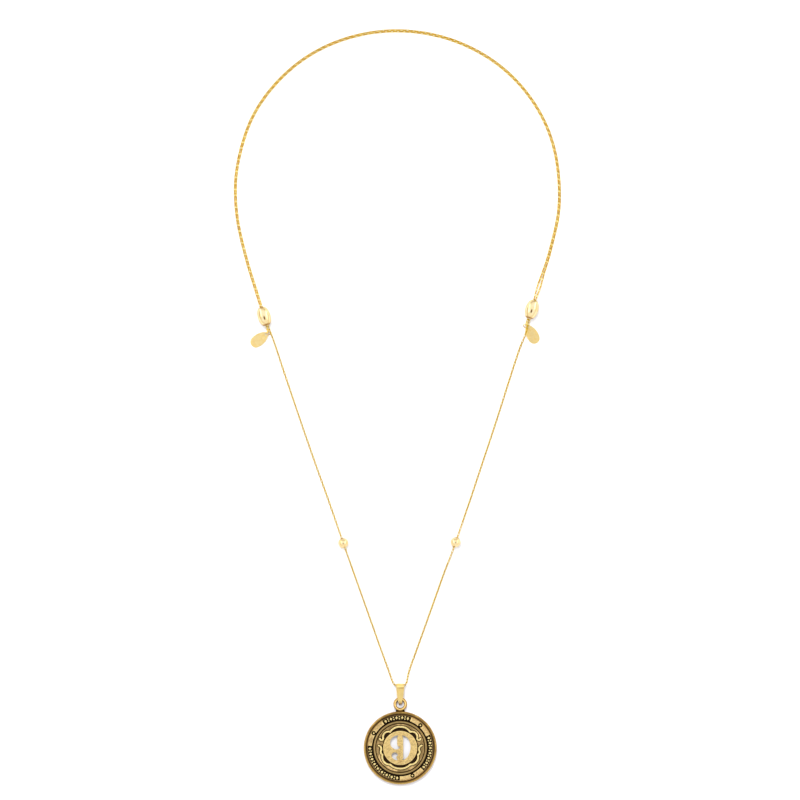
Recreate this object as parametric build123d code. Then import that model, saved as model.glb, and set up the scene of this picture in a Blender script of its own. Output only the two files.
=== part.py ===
from build123d import *
import os
from collections import namedtuple
from math import asin, cos, degrees, radians, sin, sqrt, tan

# A number necklace lying flat, in millimetres. The floor is z = 0, +Y points from the medallion
# to the neck, and the origin is the middle of the medallion's flat back.

# Chain: the space that one strand of fine links takes up
strand_d = 0.5
strand_gap = 0.1

# Sliding beads, drilled for two strands side by side
slider_length = 6.4
slider_d = 4.5
slider_end_d = 2.3
slider_bore_play = 0.3

# Stopper beads, drilled for one strand
stopper_d = 3.5
stopper_bore_play = 0.3

# End links and tag rings
wire_d = 0.25
wire_gap = 0.07
end_link_length = 1.95
end_link_width = 1.1
end_link_roll = 25.0
tag_ring_d = 1.86
tag_ring_tilt = 47.0
tag_ring_out = 2.95

# Tags
tag_thickness = 0.25
tag_width = 3.95
tag_reach = 6.6
tag_side_r = 6.2
tag_hole_d = 0.96
tag_tip_wall = 0.22
tag_edge_round = 0.08

# Bail
bail_length = 7.25
bail_width = 2.9
bail_band = 0.3
bail_eye_d = 2.6
bail_fold_d = 1.95
bail_slack = 1.16
bail_strand_gap = 0.4

# Medallion
medallion_d = 25.5
medallion_thickness = 2.0
rim_width = 0.7
slope_width = 0.6
band_width = 1.7
band_groove = 0.3
moulding_width = 0.85
field_groove = 0.2
disc_d = 12.0
disc_groove = 0.25
disc_chamfer = 0.1
numeral_height = 8.75
ribbon_width = 0.6
ribbon_groove = 0.2
panel_margin = 0.16
dot_d = 0.6
dot_hollow_d = 1.5
dot_crown = 0.2
back_chamfer = 0.15

# Levels of the relief, as shares of the medallion's thickness
rim_level = 1.0
rim_edge_level = 0.8
pocket_level = 0.45
band_level = 0.52
panel_level = 0.72
moulding_level = 0.7
field_level = 0.66
ribbon_level = 0.86
disc_level = 0.86
dot_level = 0.82
ornament_level = 0.76
ornament_foot_level = 0.5
root_level = 0.25

# Ornament in the three sunk panels: lozenges with stacked pellets between them
lozenge_height = 1.45
lozenge_width = 1.1
lozenge_bevel = 0.15
ornament_pitch = 1.75
pellet_d = 0.5
pellet_spacing = 0.74

# Ring soldered on the medallion's top edge
ring_d = 4.8
ring_wire_d = 1.05
ring_stand = 0.155
solder_width = 3.0
solder_depth = 0.45

strand_pitch = strand_d + strand_gap
strand_radius = strand_d / 2
slider_bore_d = strand_pitch + strand_d + slider_bore_play
stopper_bore_d = strand_d + stopper_bore_play
medallion_r = medallion_d / 2
ring_y = medallion_r + ring_stand + ring_d / 2
ring_path_r = (ring_d - ring_wire_d) / 2
tag_ring_path_r = (tag_ring_d - wire_d) / 2
end_link_path = end_link_length - wire_d

# A bead's place on the chain: its middle, how far its axis leans off +Y, its half length, and the
# side of the neck it is on (-1 left, 1 right)
Seat = namedtuple("Seat", "x y lean half height side")
left_slider = Seat(-47.6, 151.0, 17.5, slider_length / 2, slider_d / 2, -1)
right_slider = Seat(46.0, 153.4, 17.5, slider_length / 2, slider_d / 2, 1)
left_stopper = Seat(-19.9, 71.7, 19.2, stopper_d / 2, stopper_d / 2, -1)
right_stopper = Seat(19.4, 72.0, 19.0, stopper_d / 2, stopper_d / 2, 1)

# How far each tag swings out from the line of its bead
left_tag_swing = 70.5
right_tag_swing = 46.5


def direction(seat, across, along, up):
    """Vector from a bead's own directions: outward, towards the neck, up."""
    lean = radians(seat.lean)
    x = seat.side * (across * cos(lean) + along * sin(lean))
    y = along * cos(lean) - across * sin(lean)
    return Vector(x, y, up)


def near(seat, across, along, height):
    """Point given in a bead's own directions, with its height over the floor."""
    return Vector(seat.x, seat.y, 0) + direction(seat, across, along, height)


# Chain routes

# A strand's points beside a bead: how far out of the bead's mouth, how far outward in half pitches
# of the strands, and how far it has risen from the floor to the bead's axis
Reach = namedtuple("Reach", "out lanes rise")
left_pair_above = [Reach(9.2, 1.0, 0.0), Reach(5.0, 1.0, 0.32), Reach(1.0, 1.0, 1.0)]
right_pair_above = [Reach(9.2, 1.2, 0.0), Reach(5.0, 2.1, 0.32), Reach(1.0, 1.0, 1.0)]
left_strand_below = [Reach(1.0, -1.0, 1.0), Reach(5.2, -2.0, 0.36), Reach(9.4, -2.2, 0.0)]
right_strand_below = [Reach(1.0, 1.0, 1.0), Reach(5.8, 1.9, 0.475), Reach(10.4, 0.3, 0.0)]
stopper_above = [Reach(8.7, 0.0, 0.0), Reach(4.6, 0.0, 0.34), Reach(0.8, 0.0, 1.0)]
left_stopper_below = [Reach(0.8, 0.0, 1.0), Reach(4.6, 0.0, 0.34), Reach(8.7, 0.0, 0.0)]
right_stopper_below = [Reach(0.8, 0.0, 1.0), Reach(4.6, -0.3, 0.34), Reach(8.7, -1.1, 0.0)]

# Middle line of the two strands round the neck, from the left slider to the right one
neck_route = [
    (-53.8, 170.7),
    (-57.7, 186.7),
    (-57.7, 204.2),
    (-50.5, 225.6),
    (-32.5, 243.6),
    (-8.5, 251.8),
    (16.6, 249.6),
    (38.7, 237.3),
    (53.2, 216.6),
    (56.7, 191.6),
    (52.3, 172.9),
]

# The single strands on the floor, from slider to stopper and from stopper to bail
left_upper_fall = [(-40.8, 131.9), (-35.1, 115.0), (-29.35, 98.4), (-25.7, 88.4)]
left_lower_fall = [(-13.95, 54.8), (-9.95, 43.5), (-6.3, 33.2)]
right_upper_fall = [(39.3, 132.3), (33.9, 115.1), (28.4, 98.6), (25.0, 88.3)]
right_lower_fall = [(13.15, 55.0), (9.0, 43.4), (5.3, 33.0)]

# Last points before the middle of the bail's eye: outward on the left and on the right, up the
# chain from the bail's middle line, and rise from the floor to the eye's axis
BailPoint = namedtuple("BailPoint", "left right above rise")
bail_run = [
    BailPoint(3.95, 3.0, 5.4, 0.2),
    BailPoint(2.95, 2.45, 2.3, 0.62),
    BailPoint(2.25, 2.1, 0.75, 0.95),
    BailPoint(1.15, 1.15, 0.0, 1.0),
]

bail_top = ring_y + ring_path_r - ring_wire_d / 2 - bail_slack - bail_band + bail_length
bail_axis_y = bail_top - bail_eye_d / 2
bail_eye_r = bail_eye_d / 2 - bail_band
bail_strand_y = bail_axis_y + bail_eye_r - strand_radius - bail_strand_gap


def beside(seat, reach, lane, way):
    """Point of a strand beside a bead, above it (way 1) or below it (way -1)."""
    across = lane * reach.lanes * strand_pitch / 2
    along = way * (seat.half + reach.out)
    height = strand_radius + reach.rise * (seat.height - strand_radius)
    return near(seat, across, along, height)


def on_floor(points):
    return [Vector(x, y, strand_radius) for x, y in points]


def neck_strand(lane):
    """The neck's middle line moved outward or inward by half a pitch."""
    first = beside(left_slider, left_pair_above[0], 0, 1)
    last = beside(right_slider, right_pair_above[0], 0, 1)
    line = [first] + on_floor(neck_route) + [last]
    moved = []
    for before, point, after in zip(line, line[1:], line[2:]):
        heading = Vector(after.X - before.X, after.Y - before.Y, 0).normalized()
        outward = Vector(-heading.Y, heading.X, 0)
        moved.append(point + outward * (lane * strand_pitch / 2))
    return moved


def fall(side):
    """Points of a single strand from its slider, through its stopper, to the bail's middle."""
    left = side < 0
    slider = left_slider if left else right_slider
    stopper = left_stopper if left else right_stopper
    below = left_strand_below if left else right_strand_below
    beyond = left_stopper_below if left else right_stopper_below
    points = [beside(slider, reach, 1, -1) for reach in below]
    points += on_floor(left_upper_fall if left else right_upper_fall)
    points += [beside(stopper, reach, 1, 1) for reach in stopper_above]
    points += [beside(stopper, reach, 1, -1) for reach in beyond]
    points += on_floor(left_lower_fall if left else right_lower_fall)
    for row in bail_run:
        height = strand_radius + row.rise * (bail_eye_d / 2 - strand_radius)
        outward = row.left if left else row.right
        points.append(Vector(side * outward, bail_strand_y + row.above, height))
    points.append(Vector(0, bail_strand_y, bail_eye_d / 2))
    return points


def strand_end(seat, lane):
    """Cut end of a strand, just short of the end link's wire, and its last point in the bore."""
    hold = end_link_ends(seat, lane)[0]
    stub = direction(seat, 0, wire_d / 2 + strand_radius + wire_gap, 0)
    return [hold + stub, near(seat, lane * strand_pitch / 2, 0, seat.height)]


def strand_route(lane):
    """One strand from its end link to the middle of the bail: lane 1 outer, lane -1 inner."""
    start, finish = (left_slider, right_slider) if lane > 0 else (right_slider, left_slider)
    above = {-1: left_pair_above, 1: right_pair_above}
    points = strand_end(start, lane)
    points += [beside(start, reach, lane, 1) for reach in reversed(above[start.side])]
    round_neck = neck_strand(lane)
    points += round_neck if lane > 0 else list(reversed(round_neck))
    points += [beside(finish, reach, lane, 1) for reach in above[finish.side]]
    points += fall(finish.side)
    return points


def strand_radii(points):
    """Arc at each corner, as large as its two runs allow."""
    radii = []
    for before, point, after in zip(points, points[1:], points[2:]):
        arrive = point - before
        leave = after - point
        half_turn = radians(arrive.get_angle(leave)) / 2
        radii.append(0.45 * min(arrive.length, leave.length) / tan(half_turn))
    return radii


def strand(name, points):
    """Plain tube along straight runs and tangent arcs."""
    radii = strand_radii(points)
    path = FilletPolyline(*points, radius=radii)
    section = Plane(origin=path @ 0, z_dir=path % 0) * Circle(strand_radius)
    tube = sweep(section, path=path)
    share = tube.volume / (section.area * path.length)
    print(name, "length", round(path.length, 1), "volume share", round(share, 4))
    print(name, "radii", [round(r, 1) for r in radii])
    return tube


# Beads

def slider_bead(seat):
    """Oval bead turned about its axis, with flat ends and a bore for two strands."""
    half = slider_length / 2
    reach = half / sqrt(1 - (slider_end_d / slider_d) ** 2)
    end_angle = degrees(asin(half / reach))
    crown = EllipticalCenterArc((0, 0), slider_d / 2, reach, -end_angle, arc_size=2 * end_angle)
    outline = make_face(
        crown + Polyline(crown @ 1, (0, half), (0, -half), crown @ 0)
    )
    body = revolve(outline, axis=Axis.Y)
    bore = Plane.XZ.offset(-slider_length) * Circle(slider_bore_d / 2)
    body -= extrude(bore, amount=2 * slider_length)
    return Location((seat.x, seat.y, seat.height), (0, 0, -seat.side * seat.lean)) * body


def stopper_bead(seat):
    body = Sphere(stopper_d / 2)
    bore = Plane.XZ.offset(-stopper_d) * Circle(stopper_bore_d / 2)
    body -= extrude(bore, amount=2 * stopper_d)
    return Location((seat.x, seat.y, seat.height), (0, 0, -seat.side * seat.lean)) * body


# End links, rings and tags

def tag_ring_middle(seat, lane):
    height = tag_ring_path_r * sin(radians(tag_ring_tilt)) + wire_d / 2
    return near(seat, lane * strand_pitch / 2, -seat.half - tag_ring_out, height)


def ring_slope(seat):
    """Direction up the tilted ring, towards the bead."""
    tilt = radians(tag_ring_tilt)
    return direction(seat, 0, cos(tilt), sin(tilt))


def end_link_ends(seat, lane):
    """Middle of the link's wire at the chain's end and at the ring's end."""
    slope = ring_slope(seat)
    lower = tag_ring_middle(seat, lane) + slope * (tag_ring_path_r - wire_d - wire_gap)
    return lower + slope * end_link_path, lower


def tag_ring(seat, lane):
    outward = direction(seat, 1, 0, 0)
    plane = Plane(
        origin=tag_ring_middle(seat, lane),
        x_dir=outward,
        z_dir=outward.cross(ring_slope(seat)),
    )
    return plane * Torus(tag_ring_path_r, wire_d / 2)


def end_link(seat, lane):
    """Oval link standing across the ring, rolled a little to one side."""
    upper, lower = end_link_ends(seat, lane)
    slope = ring_slope(seat)
    tilt = radians(tag_ring_tilt)
    roll = radians(end_link_roll)
    steep = direction(seat, 0, -sin(tilt), cos(tilt))
    widthwise = steep * cos(roll) + direction(seat, 1, 0, 0) * sin(roll)
    plane = Plane(origin=(upper + lower) / 2, x_dir=slope, z_dir=slope.cross(widthwise))
    path_width = end_link_width - wire_d
    straight = end_link_path - path_width
    outline = SlotCenterToCenter(straight, path_width).wire()
    start = Plane(origin=outline @ 0, z_dir=outline % 0) * Circle(wire_d / 2)
    return plane * sweep(start, path=outline)


def tag(seat, lane, swing):
    """Flat egg shape with its tip on the ring and its far end on the floor."""
    tip_r = tag_hole_d / 2 + tag_tip_wall
    body_r = tag_width / 2
    body_x = tag_reach - body_r
    # A side's arc wraps round the tip's circle and the body's, and this is its middle
    to_tip = tag_side_r - tip_r
    to_body = tag_side_r - body_r
    side_x = (to_tip**2 - to_body**2 + body_x**2) / (2 * body_x)
    side_y = -sqrt(to_tip**2 - side_x**2)
    tip_top = (-side_x * tip_r / to_tip, -side_y * tip_r / to_tip)
    body_top = (body_x + (body_x - side_x) * body_r / to_body, -side_y * body_r / to_body)
    side_top = (side_x, side_y + tag_side_r)
    tip_low, body_low, side_low = [(x, -y) for x, y in (tip_top, body_top, side_top)]
    outline = make_face(
        ThreePointArc(tip_top, (-tip_r, 0), tip_low)
        + ThreePointArc(tip_low, side_low, body_low)
        + ThreePointArc(body_low, (tag_reach, 0), body_top)
        + ThreePointArc(body_top, side_top, tip_top)
    )
    outline -= Circle(tag_hole_d / 2)
    sheet = extrude(outline, amount=tag_thickness / 2, both=True)
    rims = [face.outer_wire().edges() for face in sheet.faces().filter_by(Axis.Z)]
    sheet = fillet(rims[0] + rims[1], tag_edge_round)
    wire = tag_ring_middle(seat, lane) + direction(seat, tag_ring_path_r, 0, 0)
    dip = degrees(asin((wire.Z - tag_thickness / 2) / tag_reach))
    heading = direction(seat, sin(radians(swing)), -cos(radians(swing)), 0)
    along = heading * cos(radians(dip)) - Vector(0, 0, sin(radians(dip)))
    sideways = Vector(0, 0, 1).cross(heading)
    plane = Plane(origin=wire, x_dir=along, z_dir=along.cross(sideways))
    return plane * sheet


# Bail

# Half the bail's front outline: how far down its length, and what share of its width
Taper = namedtuple("Taper", "down width")
bail_taper = [
    Taper(-0.02, 1.0),
    Taper(0.2, 0.96),
    Taper(0.45, 0.85),
    Taper(0.66, 0.74),
    Taper(0.78, 0.5),
    Taper(0.9, 0.39),
    Taper(1.02, 0.37),
]


def loop_outline(wall):
    """Side view of the bail's loop: its eye and its fold, less a wall, joined by tangents."""
    fold_y = bail_top - bail_length + bail_fold_d / 2
    eye = Pos(bail_axis_y, bail_eye_d / 2) * Circle(bail_eye_d / 2 - wall)
    fold = Pos(fold_y, bail_fold_d / 2) * Circle(bail_fold_d / 2 - wall)
    return make_hull(eye.edges() + fold.edges())


def bail():
    """Band folded into a loop, wide at the eye and narrow where it holds the ring."""
    side = Plane.YZ * (loop_outline(0) - loop_outline(bail_band))
    band = extrude(side, amount=bail_width, both=True)
    right = [(row.width * bail_width / 2, bail_top - row.down * bail_length) for row in bail_taper]
    left = [(-x, y) for x, y in reversed(right)]
    sides = Spline(*right) + Spline(*left)
    front = make_face(sides + Line(right[-1], left[0]) + Line(left[-1], right[0]))
    front = Pos(0, 0, -bail_eye_d) * front
    return band & extrude(front, amount=3 * bail_eye_d, dir=(0, 0, 1))


# Medallion

def level(share):
    return share * medallion_thickness


slope_r = medallion_r - rim_width
band_outer_r = slope_r - slope_width
band_inner_r = band_outer_r - band_width
moulding_outer_r = band_inner_r - band_groove
moulding_inner_r = moulding_outer_r - moulding_width
field_r = moulding_inner_r - field_groove
disc_r = disc_d / 2

# Sunk panels and raised panels round the band, in degrees anticlockwise from +X
Span = namedtuple("Span", "start end")
ornament_spans = [Span(70, 124), Span(-44, 24), Span(176, 269.3)]
raised_spans = [Span(24, 70), Span(124, 176), Span(269.3, 316)]
dot_angles = [48.3, 151.0, 294.0]

# Scalloped ribbons, left halves from the middle outwards: each arc goes through three points,
# given by their angle and by their place between the disc's edge (0) and the field's edge (1)
RibbonArc = namedtuple("RibbonArc", "angle_a out_a angle_b out_b angle_c out_c")
upper_ribbon = [
    RibbonArc(90, 0.59, 106, 0.53, 122, 0.26),
    RibbonArc(122, 0.26, 137, 0.64, 151, 0.33),
    RibbonArc(151, 0.33, 154.8, 0.325, 157.4, 0.45),
    RibbonArc(157.4, 0.45, 157.6, 0.63, 155.5, 0.74),
]
lower_ribbon = [
    RibbonArc(270, 0.51, 254, 0.48, 239, 0.33),
    RibbonArc(239, 0.33, 219, 0.62, 201, 0.27),
    RibbonArc(201, 0.27, 193.5, 0.42, 187, 0.3),
    RibbonArc(187, 0.3, 177.5, 0.33, 173.5, 0.66),
]

# Openings of the numeral, as shares of half its height: rows of (x, y) through which arcs pass in
# turn, two rows to an arc, and a straight side where the row says so
Stroke = namedtuple("Stroke", "kind via end")
bowl_start = (-0.126, 1.0)
bowl_cut = [
    Stroke("arc", (-0.56, 0.885), (-0.81, 0.41)),
    Stroke("arc", (-0.63, 0.02), (-0.36, -0.12)),
    Stroke("arc", (-0.09, -0.05), (0.005, 0.085)),
    Stroke("arc", (-0.175, 0.15), (-0.245, 0.336)),
    Stroke("line", None, (-0.245, 0.778)),
    Stroke("arc", (-0.213, 0.895), (-0.126, 1.0)),
]
stem_start = (0.112, 1.0)
stem_cut = [
    Stroke("arc", (0.457, 0.905), (0.73, 0.54)),
    Stroke("arc", (0.824, 0.03), (0.71, -0.48)),
    Stroke("arc", (0.48, -0.83), (0.112, -0.985)),
    Stroke("arc", (0.205, -0.865), (0.24, -0.705)),
    Stroke("line", None, (0.24, 0.7)),
    Stroke("arc", (0.205, 0.87), (0.112, 1.0)),
]
ball_start = (-0.192, -0.618)
ball_cut = [
    Stroke("arc", (-0.44, -0.352), (-0.688, -0.634)),
    Stroke("arc", (-0.56, -0.857), (-0.168, -0.985)),
    Stroke("arc", (-0.264, -0.849), (-0.296, -0.705)),
    Stroke("arc", (-0.256, -0.657), (-0.192, -0.618)),
]


def polar(angle, radius):
    return Vector(radius * cos(radians(angle)), radius * sin(radians(angle)))


def sector(inner, outer, start, end):
    """Flat piece of a ring between two angles."""
    out_arc = CenterArc((0, 0), outer, start, end - start)
    in_arc = CenterArc((0, 0), inner, start, end - start)
    return make_face(
        out_arc + in_arc + Line(out_arc @ 0, in_arc @ 0) + Line(out_arc @ 1, in_arc @ 1)
    )


def raised(sketch, top):
    """Solid from inside the casting up to a level."""
    root = Pos(0, 0, level(root_level)) * sketch
    return extrude(root, amount=level(top - root_level), dir=(0, 0, 1))


def blank():
    """Turned body: rim, slope, sunk band, rounded moulding, groove and pocket floor."""
    crest_r = medallion_r - rim_width / 2
    rim = ThreePointArc(
        (medallion_r, level(rim_edge_level)),
        (crest_r, level(rim_level)),
        (slope_r, level((rim_edge_level + rim_level) / 2)),
    )
    moulding = ThreePointArc(
        (moulding_outer_r, level(band_level)),
        ((moulding_outer_r + moulding_inner_r) / 2, level(moulding_level)),
        (moulding_inner_r, level(band_level)),
    )
    section = make_face(
        Polyline(
            (0, level(pocket_level)),
            (0, 0),
            (medallion_r - back_chamfer, 0),
            (medallion_r, back_chamfer),
            rim @ 0,
        )
        + rim
        + Polyline(rim @ 1, (band_outer_r, level(band_level)), moulding @ 0)
        + moulding
        + Polyline(
            moulding @ 1,
            (field_r, level(band_level)),
            (field_r, level(pocket_level)),
            (0, level(pocket_level)),
        )
    )
    return revolve(Plane.XZ * section, axis=Axis.Z)


def panels():
    """Raised plain panels, each with a round hollow and a small dome in it."""
    shapes = []
    for span in raised_spans:
        shapes.append(
            sector(band_inner_r + panel_margin, band_outer_r - panel_margin, span.start, span.end)
        )
    middle_r = (band_inner_r + band_outer_r) / 2
    hollows = [Pos(polar(angle, middle_r)) * Circle(dot_hollow_d / 2) for angle in dot_angles]
    flats = Sketch() + shapes - hollows
    solids = [raised(flats, panel_level)]
    for angle in dot_angles:
        post = Pos(polar(angle, middle_r)) * Circle(dot_d / 2)
        dome = raised(post, dot_level)
        solids.append(fillet(dome.edges().group_by(Axis.Z)[-1], dot_crown))
    return solids


def lozenge(place):
    """Lozenge with bevelled sides, standing on the sunk band."""
    sections = []
    for share, inset in ((ornament_foot_level, 0), (ornament_level, lozenge_bevel)):
        half_length = lozenge_height / 2 - inset
        half_width = lozenge_width / 2 * half_length / (lozenge_height / 2)
        rhombus = Polygon(
            (half_length, 0),
            (0, half_width),
            (-half_length, 0),
            (0, -half_width),
            align=None,
        )
        sections.append(Pos(0, 0, level(share)) * place * rhombus)
    return loft(sections)


def ornament():
    """Lozenges with a pair of pellets between each two, spread evenly over each sunk panel."""
    middle_r = (band_inner_r + band_outer_r) / 2
    solids = []
    for span in ornament_spans:
        arc = radians(span.end - span.start) * middle_r
        count = int(arc / ornament_pitch)
        step = (span.end - span.start) / count
        for i in range(count):
            angle = span.start + (i + 0.5) * step
            solids.append(lozenge(Pos(polar(angle, middle_r)) * Rot(0, 0, angle)))
            if i == 0:
                continue
            for out in (-pellet_spacing / 2, pellet_spacing / 2):
                pellet = Pos(polar(angle - step / 2, middle_r + out)) * Circle(pellet_d / 2)
                solids.append(raised(pellet, ornament_level))
    return solids


def ribbon_edges(rows):
    """Arcs of one ribbon, with their mirror images."""
    edges = []
    for row in rows:
        ends = []
        for angle, out in (
            (row.angle_a, row.out_a),
            (row.angle_b, row.out_b),
            (row.angle_c, row.out_c),
        ):
            ends.append(polar(angle, disc_r + out * (field_r - disc_r)))
        edges.append(ThreePointArc(*ends))
        edges.append(ThreePointArc(*[Vector(-p.X, p.Y) for p in ends]))
    return edges


def ribbon_shape(width):
    """Both ribbons drawn at a width, with round ends and joints."""
    shape = Sketch()
    for edge in ribbon_edges(upper_ribbon) + ribbon_edges(lower_ribbon):
        shape += trace(edge, width)
        for end in (edge @ 0, edge @ 1):
            shape += Pos(end) * Circle(width / 2)
    return shape


def pocket(rows):
    """Space between a ribbon and the centre, out to the last of these arcs, where the casting is sunk."""
    edges = ribbon_edges(rows)
    sides = [Line((0, 0), edge @ 1) for edge in edges[-2:]]
    return make_face(Curve() + edges + sides)


def field():
    """Raised ground outside the ribbons, running in to the disc between their ends."""
    ground = Circle(field_r) - Circle(disc_r + disc_groove)
    ground -= pocket(upper_ribbon[:-1])
    ground -= pocket(lower_ribbon)
    ground -= ribbon_shape(ribbon_width + 2 * ribbon_groove)
    return raised(ground, field_level)


def cut_outline(start, strokes):
    """Closed opening from arcs and straight sides."""
    half = numeral_height / 2
    here = Vector(*start) * half
    edges = []
    for stroke in strokes:
        end = Vector(*stroke.end) * half
        if stroke.kind == "line":
            edges.append(Line(here, end))
        else:
            edges.append(ThreePointArc(here, Vector(*stroke.via) * half, end))
        here = end
    return make_face(Curve() + edges)


def centre_disc():
    disc = raised(Circle(disc_r), disc_level)
    return chamfer(disc.edges().group_by(Axis.Z)[-1], disc_chamfer)


def top_ring():
    """Ring on the medallion's edge, with the solder that joins them."""
    ring = Pos(0, ring_y, medallion_thickness / 2) * Torus(ring_path_r, ring_wire_d / 2)
    solder_height = ring_wire_d
    bottom = ring_y - ring_d / 2 + solder_depth
    reach = bottom - (medallion_r - solder_depth)
    solder = Pos(0, bottom - reach / 2, medallion_thickness / 2) * Box(solder_width, reach, solder_height)
    hole = Pos(0, ring_y, 0) * Cylinder(ring_d / 2 - ring_wire_d / 2, 2 * medallion_thickness)
    return [ring, solder - hole]


def medallion():
    body = blank()
    body += panels()
    body += ornament()
    body += field()
    body += raised(ribbon_shape(ribbon_width), ribbon_level)
    body += centre_disc()
    body += top_ring()
    for start, strokes in ((bowl_start, bowl_cut), (stem_start, stem_cut), (ball_start, ball_cut)):
        opening = Pos(0, 0, -medallion_thickness) * cut_outline(start, strokes)
        body -= extrude(opening, amount=3 * medallion_thickness, dir=(0, 0, 1))
    return body


outer_lane = 1
inner_lane = -1

nodes = {
    "chain_outer": strand("chain_outer", strand_route(outer_lane)),
    "chain_inner": strand("chain_inner", strand_route(inner_lane)),
    "slider_bead_left": slider_bead(left_slider),
    "slider_bead_right": slider_bead(right_slider),
    "stopper_bead_left": stopper_bead(left_stopper),
    "stopper_bead_right": stopper_bead(right_stopper),
    "end_link_left": end_link(left_slider, outer_lane),
    "end_link_right": end_link(right_slider, inner_lane),
    "tag_ring_left": tag_ring(left_slider, outer_lane),
    "tag_ring_right": tag_ring(right_slider, inner_lane),
    "tag_left": tag(left_slider, outer_lane, left_tag_swing),
    "tag_right": tag(right_slider, inner_lane, right_tag_swing),
    "bail": bail(),
    "medallion": medallion(),
}

os.makedirs("parts", exist_ok=True)
for name, shape in nodes.items():
    print(name, "volume", round(shape.volume, 3), "solids", len(shape.solids()))
    export_step(shape, f"parts/{name}.step")
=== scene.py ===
from collections import namedtuple
from math import asin, cos, pi, radians, sin, sqrt

import bmesh
import bpy
import numpy as np
from mathutils import Matrix, Vector


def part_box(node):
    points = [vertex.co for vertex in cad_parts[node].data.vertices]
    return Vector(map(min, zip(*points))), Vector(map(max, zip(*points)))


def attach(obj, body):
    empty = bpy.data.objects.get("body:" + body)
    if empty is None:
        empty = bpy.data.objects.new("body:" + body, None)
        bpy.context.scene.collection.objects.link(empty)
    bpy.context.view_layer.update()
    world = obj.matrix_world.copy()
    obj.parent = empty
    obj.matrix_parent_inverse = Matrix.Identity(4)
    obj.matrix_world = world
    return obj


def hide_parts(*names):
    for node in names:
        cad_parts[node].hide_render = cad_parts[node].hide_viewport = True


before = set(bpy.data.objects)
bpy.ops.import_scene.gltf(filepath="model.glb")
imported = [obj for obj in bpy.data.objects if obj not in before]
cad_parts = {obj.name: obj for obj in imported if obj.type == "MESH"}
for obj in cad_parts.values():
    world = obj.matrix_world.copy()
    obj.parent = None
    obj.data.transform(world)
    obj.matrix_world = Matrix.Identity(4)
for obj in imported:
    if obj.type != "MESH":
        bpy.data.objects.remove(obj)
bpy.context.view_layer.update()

# A number necklace lying flat on a white table, in metres. +Y points from the medallion to the
# neck, and the origin is the middle of the medallion's flat back.

mm = 0.001


# Places on the chain

chain = {
    "strand": 0.5 * mm,  # room that one strand of links takes up
    "pitch": 0.6 * mm,  # from strand to strand
}

# A bead's place: its middle, how far its axis leans off +Y, its half length, the height of its
# axis, and the side of the neck it is on (-1 left, 1 right)
Seat = namedtuple("Seat", "x y lean half height side")
leftSlider = Seat(-47.6 * mm, 151.0 * mm, 17.5, 3.2 * mm, 2.25 * mm, -1)
rightSlider = Seat(46.0 * mm, 153.4 * mm, 17.5, 3.2 * mm, 2.25 * mm, 1)
leftStopper = Seat(-19.9 * mm, 71.7 * mm, 19.2, 1.75 * mm, 1.75 * mm, -1)
rightStopper = Seat(19.4 * mm, 72.0 * mm, 19.0, 1.75 * mm, 1.75 * mm, 1)


# Vector from a bead's own directions: outward, towards the neck, up
def turned(seat, across, along, up):
    lean = radians(seat.lean)
    x = seat.side * (across * cos(lean) + along * sin(lean))
    y = along * cos(lean) - across * sin(lean)
    return Vector((x, y, up))


def near(seat, across, along, height):
    return Vector((seat.x, seat.y, 0)) + turned(seat, across, along, height)


# A strand's points beside a bead: millimetres out of its mouth, half pitches outward, and share
# of the rise from the floor to the bead's axis
Reach = namedtuple("Reach", "out lanes rise")
leftPairAbove = [Reach(9.2, 1.0, 0.0), Reach(5.0, 1.0, 0.32), Reach(1.0, 1.0, 1.0)]
rightPairAbove = [Reach(9.2, 1.2, 0.0), Reach(5.0, 2.1, 0.32), Reach(1.0, 1.0, 1.0)]
leftStrandBelow = [Reach(1.0, -1.0, 1.0), Reach(5.2, -2.0, 0.36), Reach(9.4, -2.2, 0.0)]
rightStrandBelow = [Reach(1.0, 1.0, 1.0), Reach(5.8, 1.9, 0.475), Reach(10.4, 0.3, 0.0)]
stopperAbove = [Reach(8.7, 0.0, 0.0), Reach(4.6, 0.0, 0.34), Reach(0.8, 0.0, 1.0)]
leftStopperBelow = [Reach(0.8, 0.0, 1.0), Reach(4.6, 0.0, 0.34), Reach(8.7, 0.0, 0.0)]
rightStopperBelow = [Reach(0.8, 0.0, 1.0), Reach(4.6, -0.3, 0.34), Reach(8.7, -1.1, 0.0)]

# Middle line of the two strands round the neck, in millimetres
neckRoute = [
    (-53.8, 170.7),
    (-57.7, 186.7),
    (-57.7, 204.2),
    (-50.5, 225.6),
    (-32.5, 243.6),
    (-8.5, 251.8),
    (16.6, 249.6),
    (38.7, 237.3),
    (53.2, 216.6),
    (56.7, 191.6),
    (52.3, 172.9),
]

# Single strands on the floor, from slider to stopper and from stopper to bail
leftUpperFall = [(-40.8, 131.9), (-35.1, 115.0), (-29.35, 98.4), (-25.7, 88.4)]
leftLowerFall = [(-13.95, 54.8), (-9.95, 43.5), (-6.3, 33.2)]
rightUpperFall = [(39.3, 132.3), (33.9, 115.1), (28.4, 98.6), (25.0, 88.3)]
rightLowerFall = [(13.15, 55.0), (9.0, 43.4), (5.3, 33.0)]

# Last points before the middle of the bail's eye: outward on the left and on the right, up the
# chain from the bail's middle line, and share of the rise to the eye's axis
BailPoint = namedtuple("BailPoint", "left right above rise")
bailRun = [
    BailPoint(3.95, 3.0, 5.4, 0.2),
    BailPoint(2.95, 2.45, 2.3, 0.62),
    BailPoint(2.25, 2.1, 0.75, 0.95),
    BailPoint(1.15, 1.15, 0.0, 1.0),
]

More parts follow.
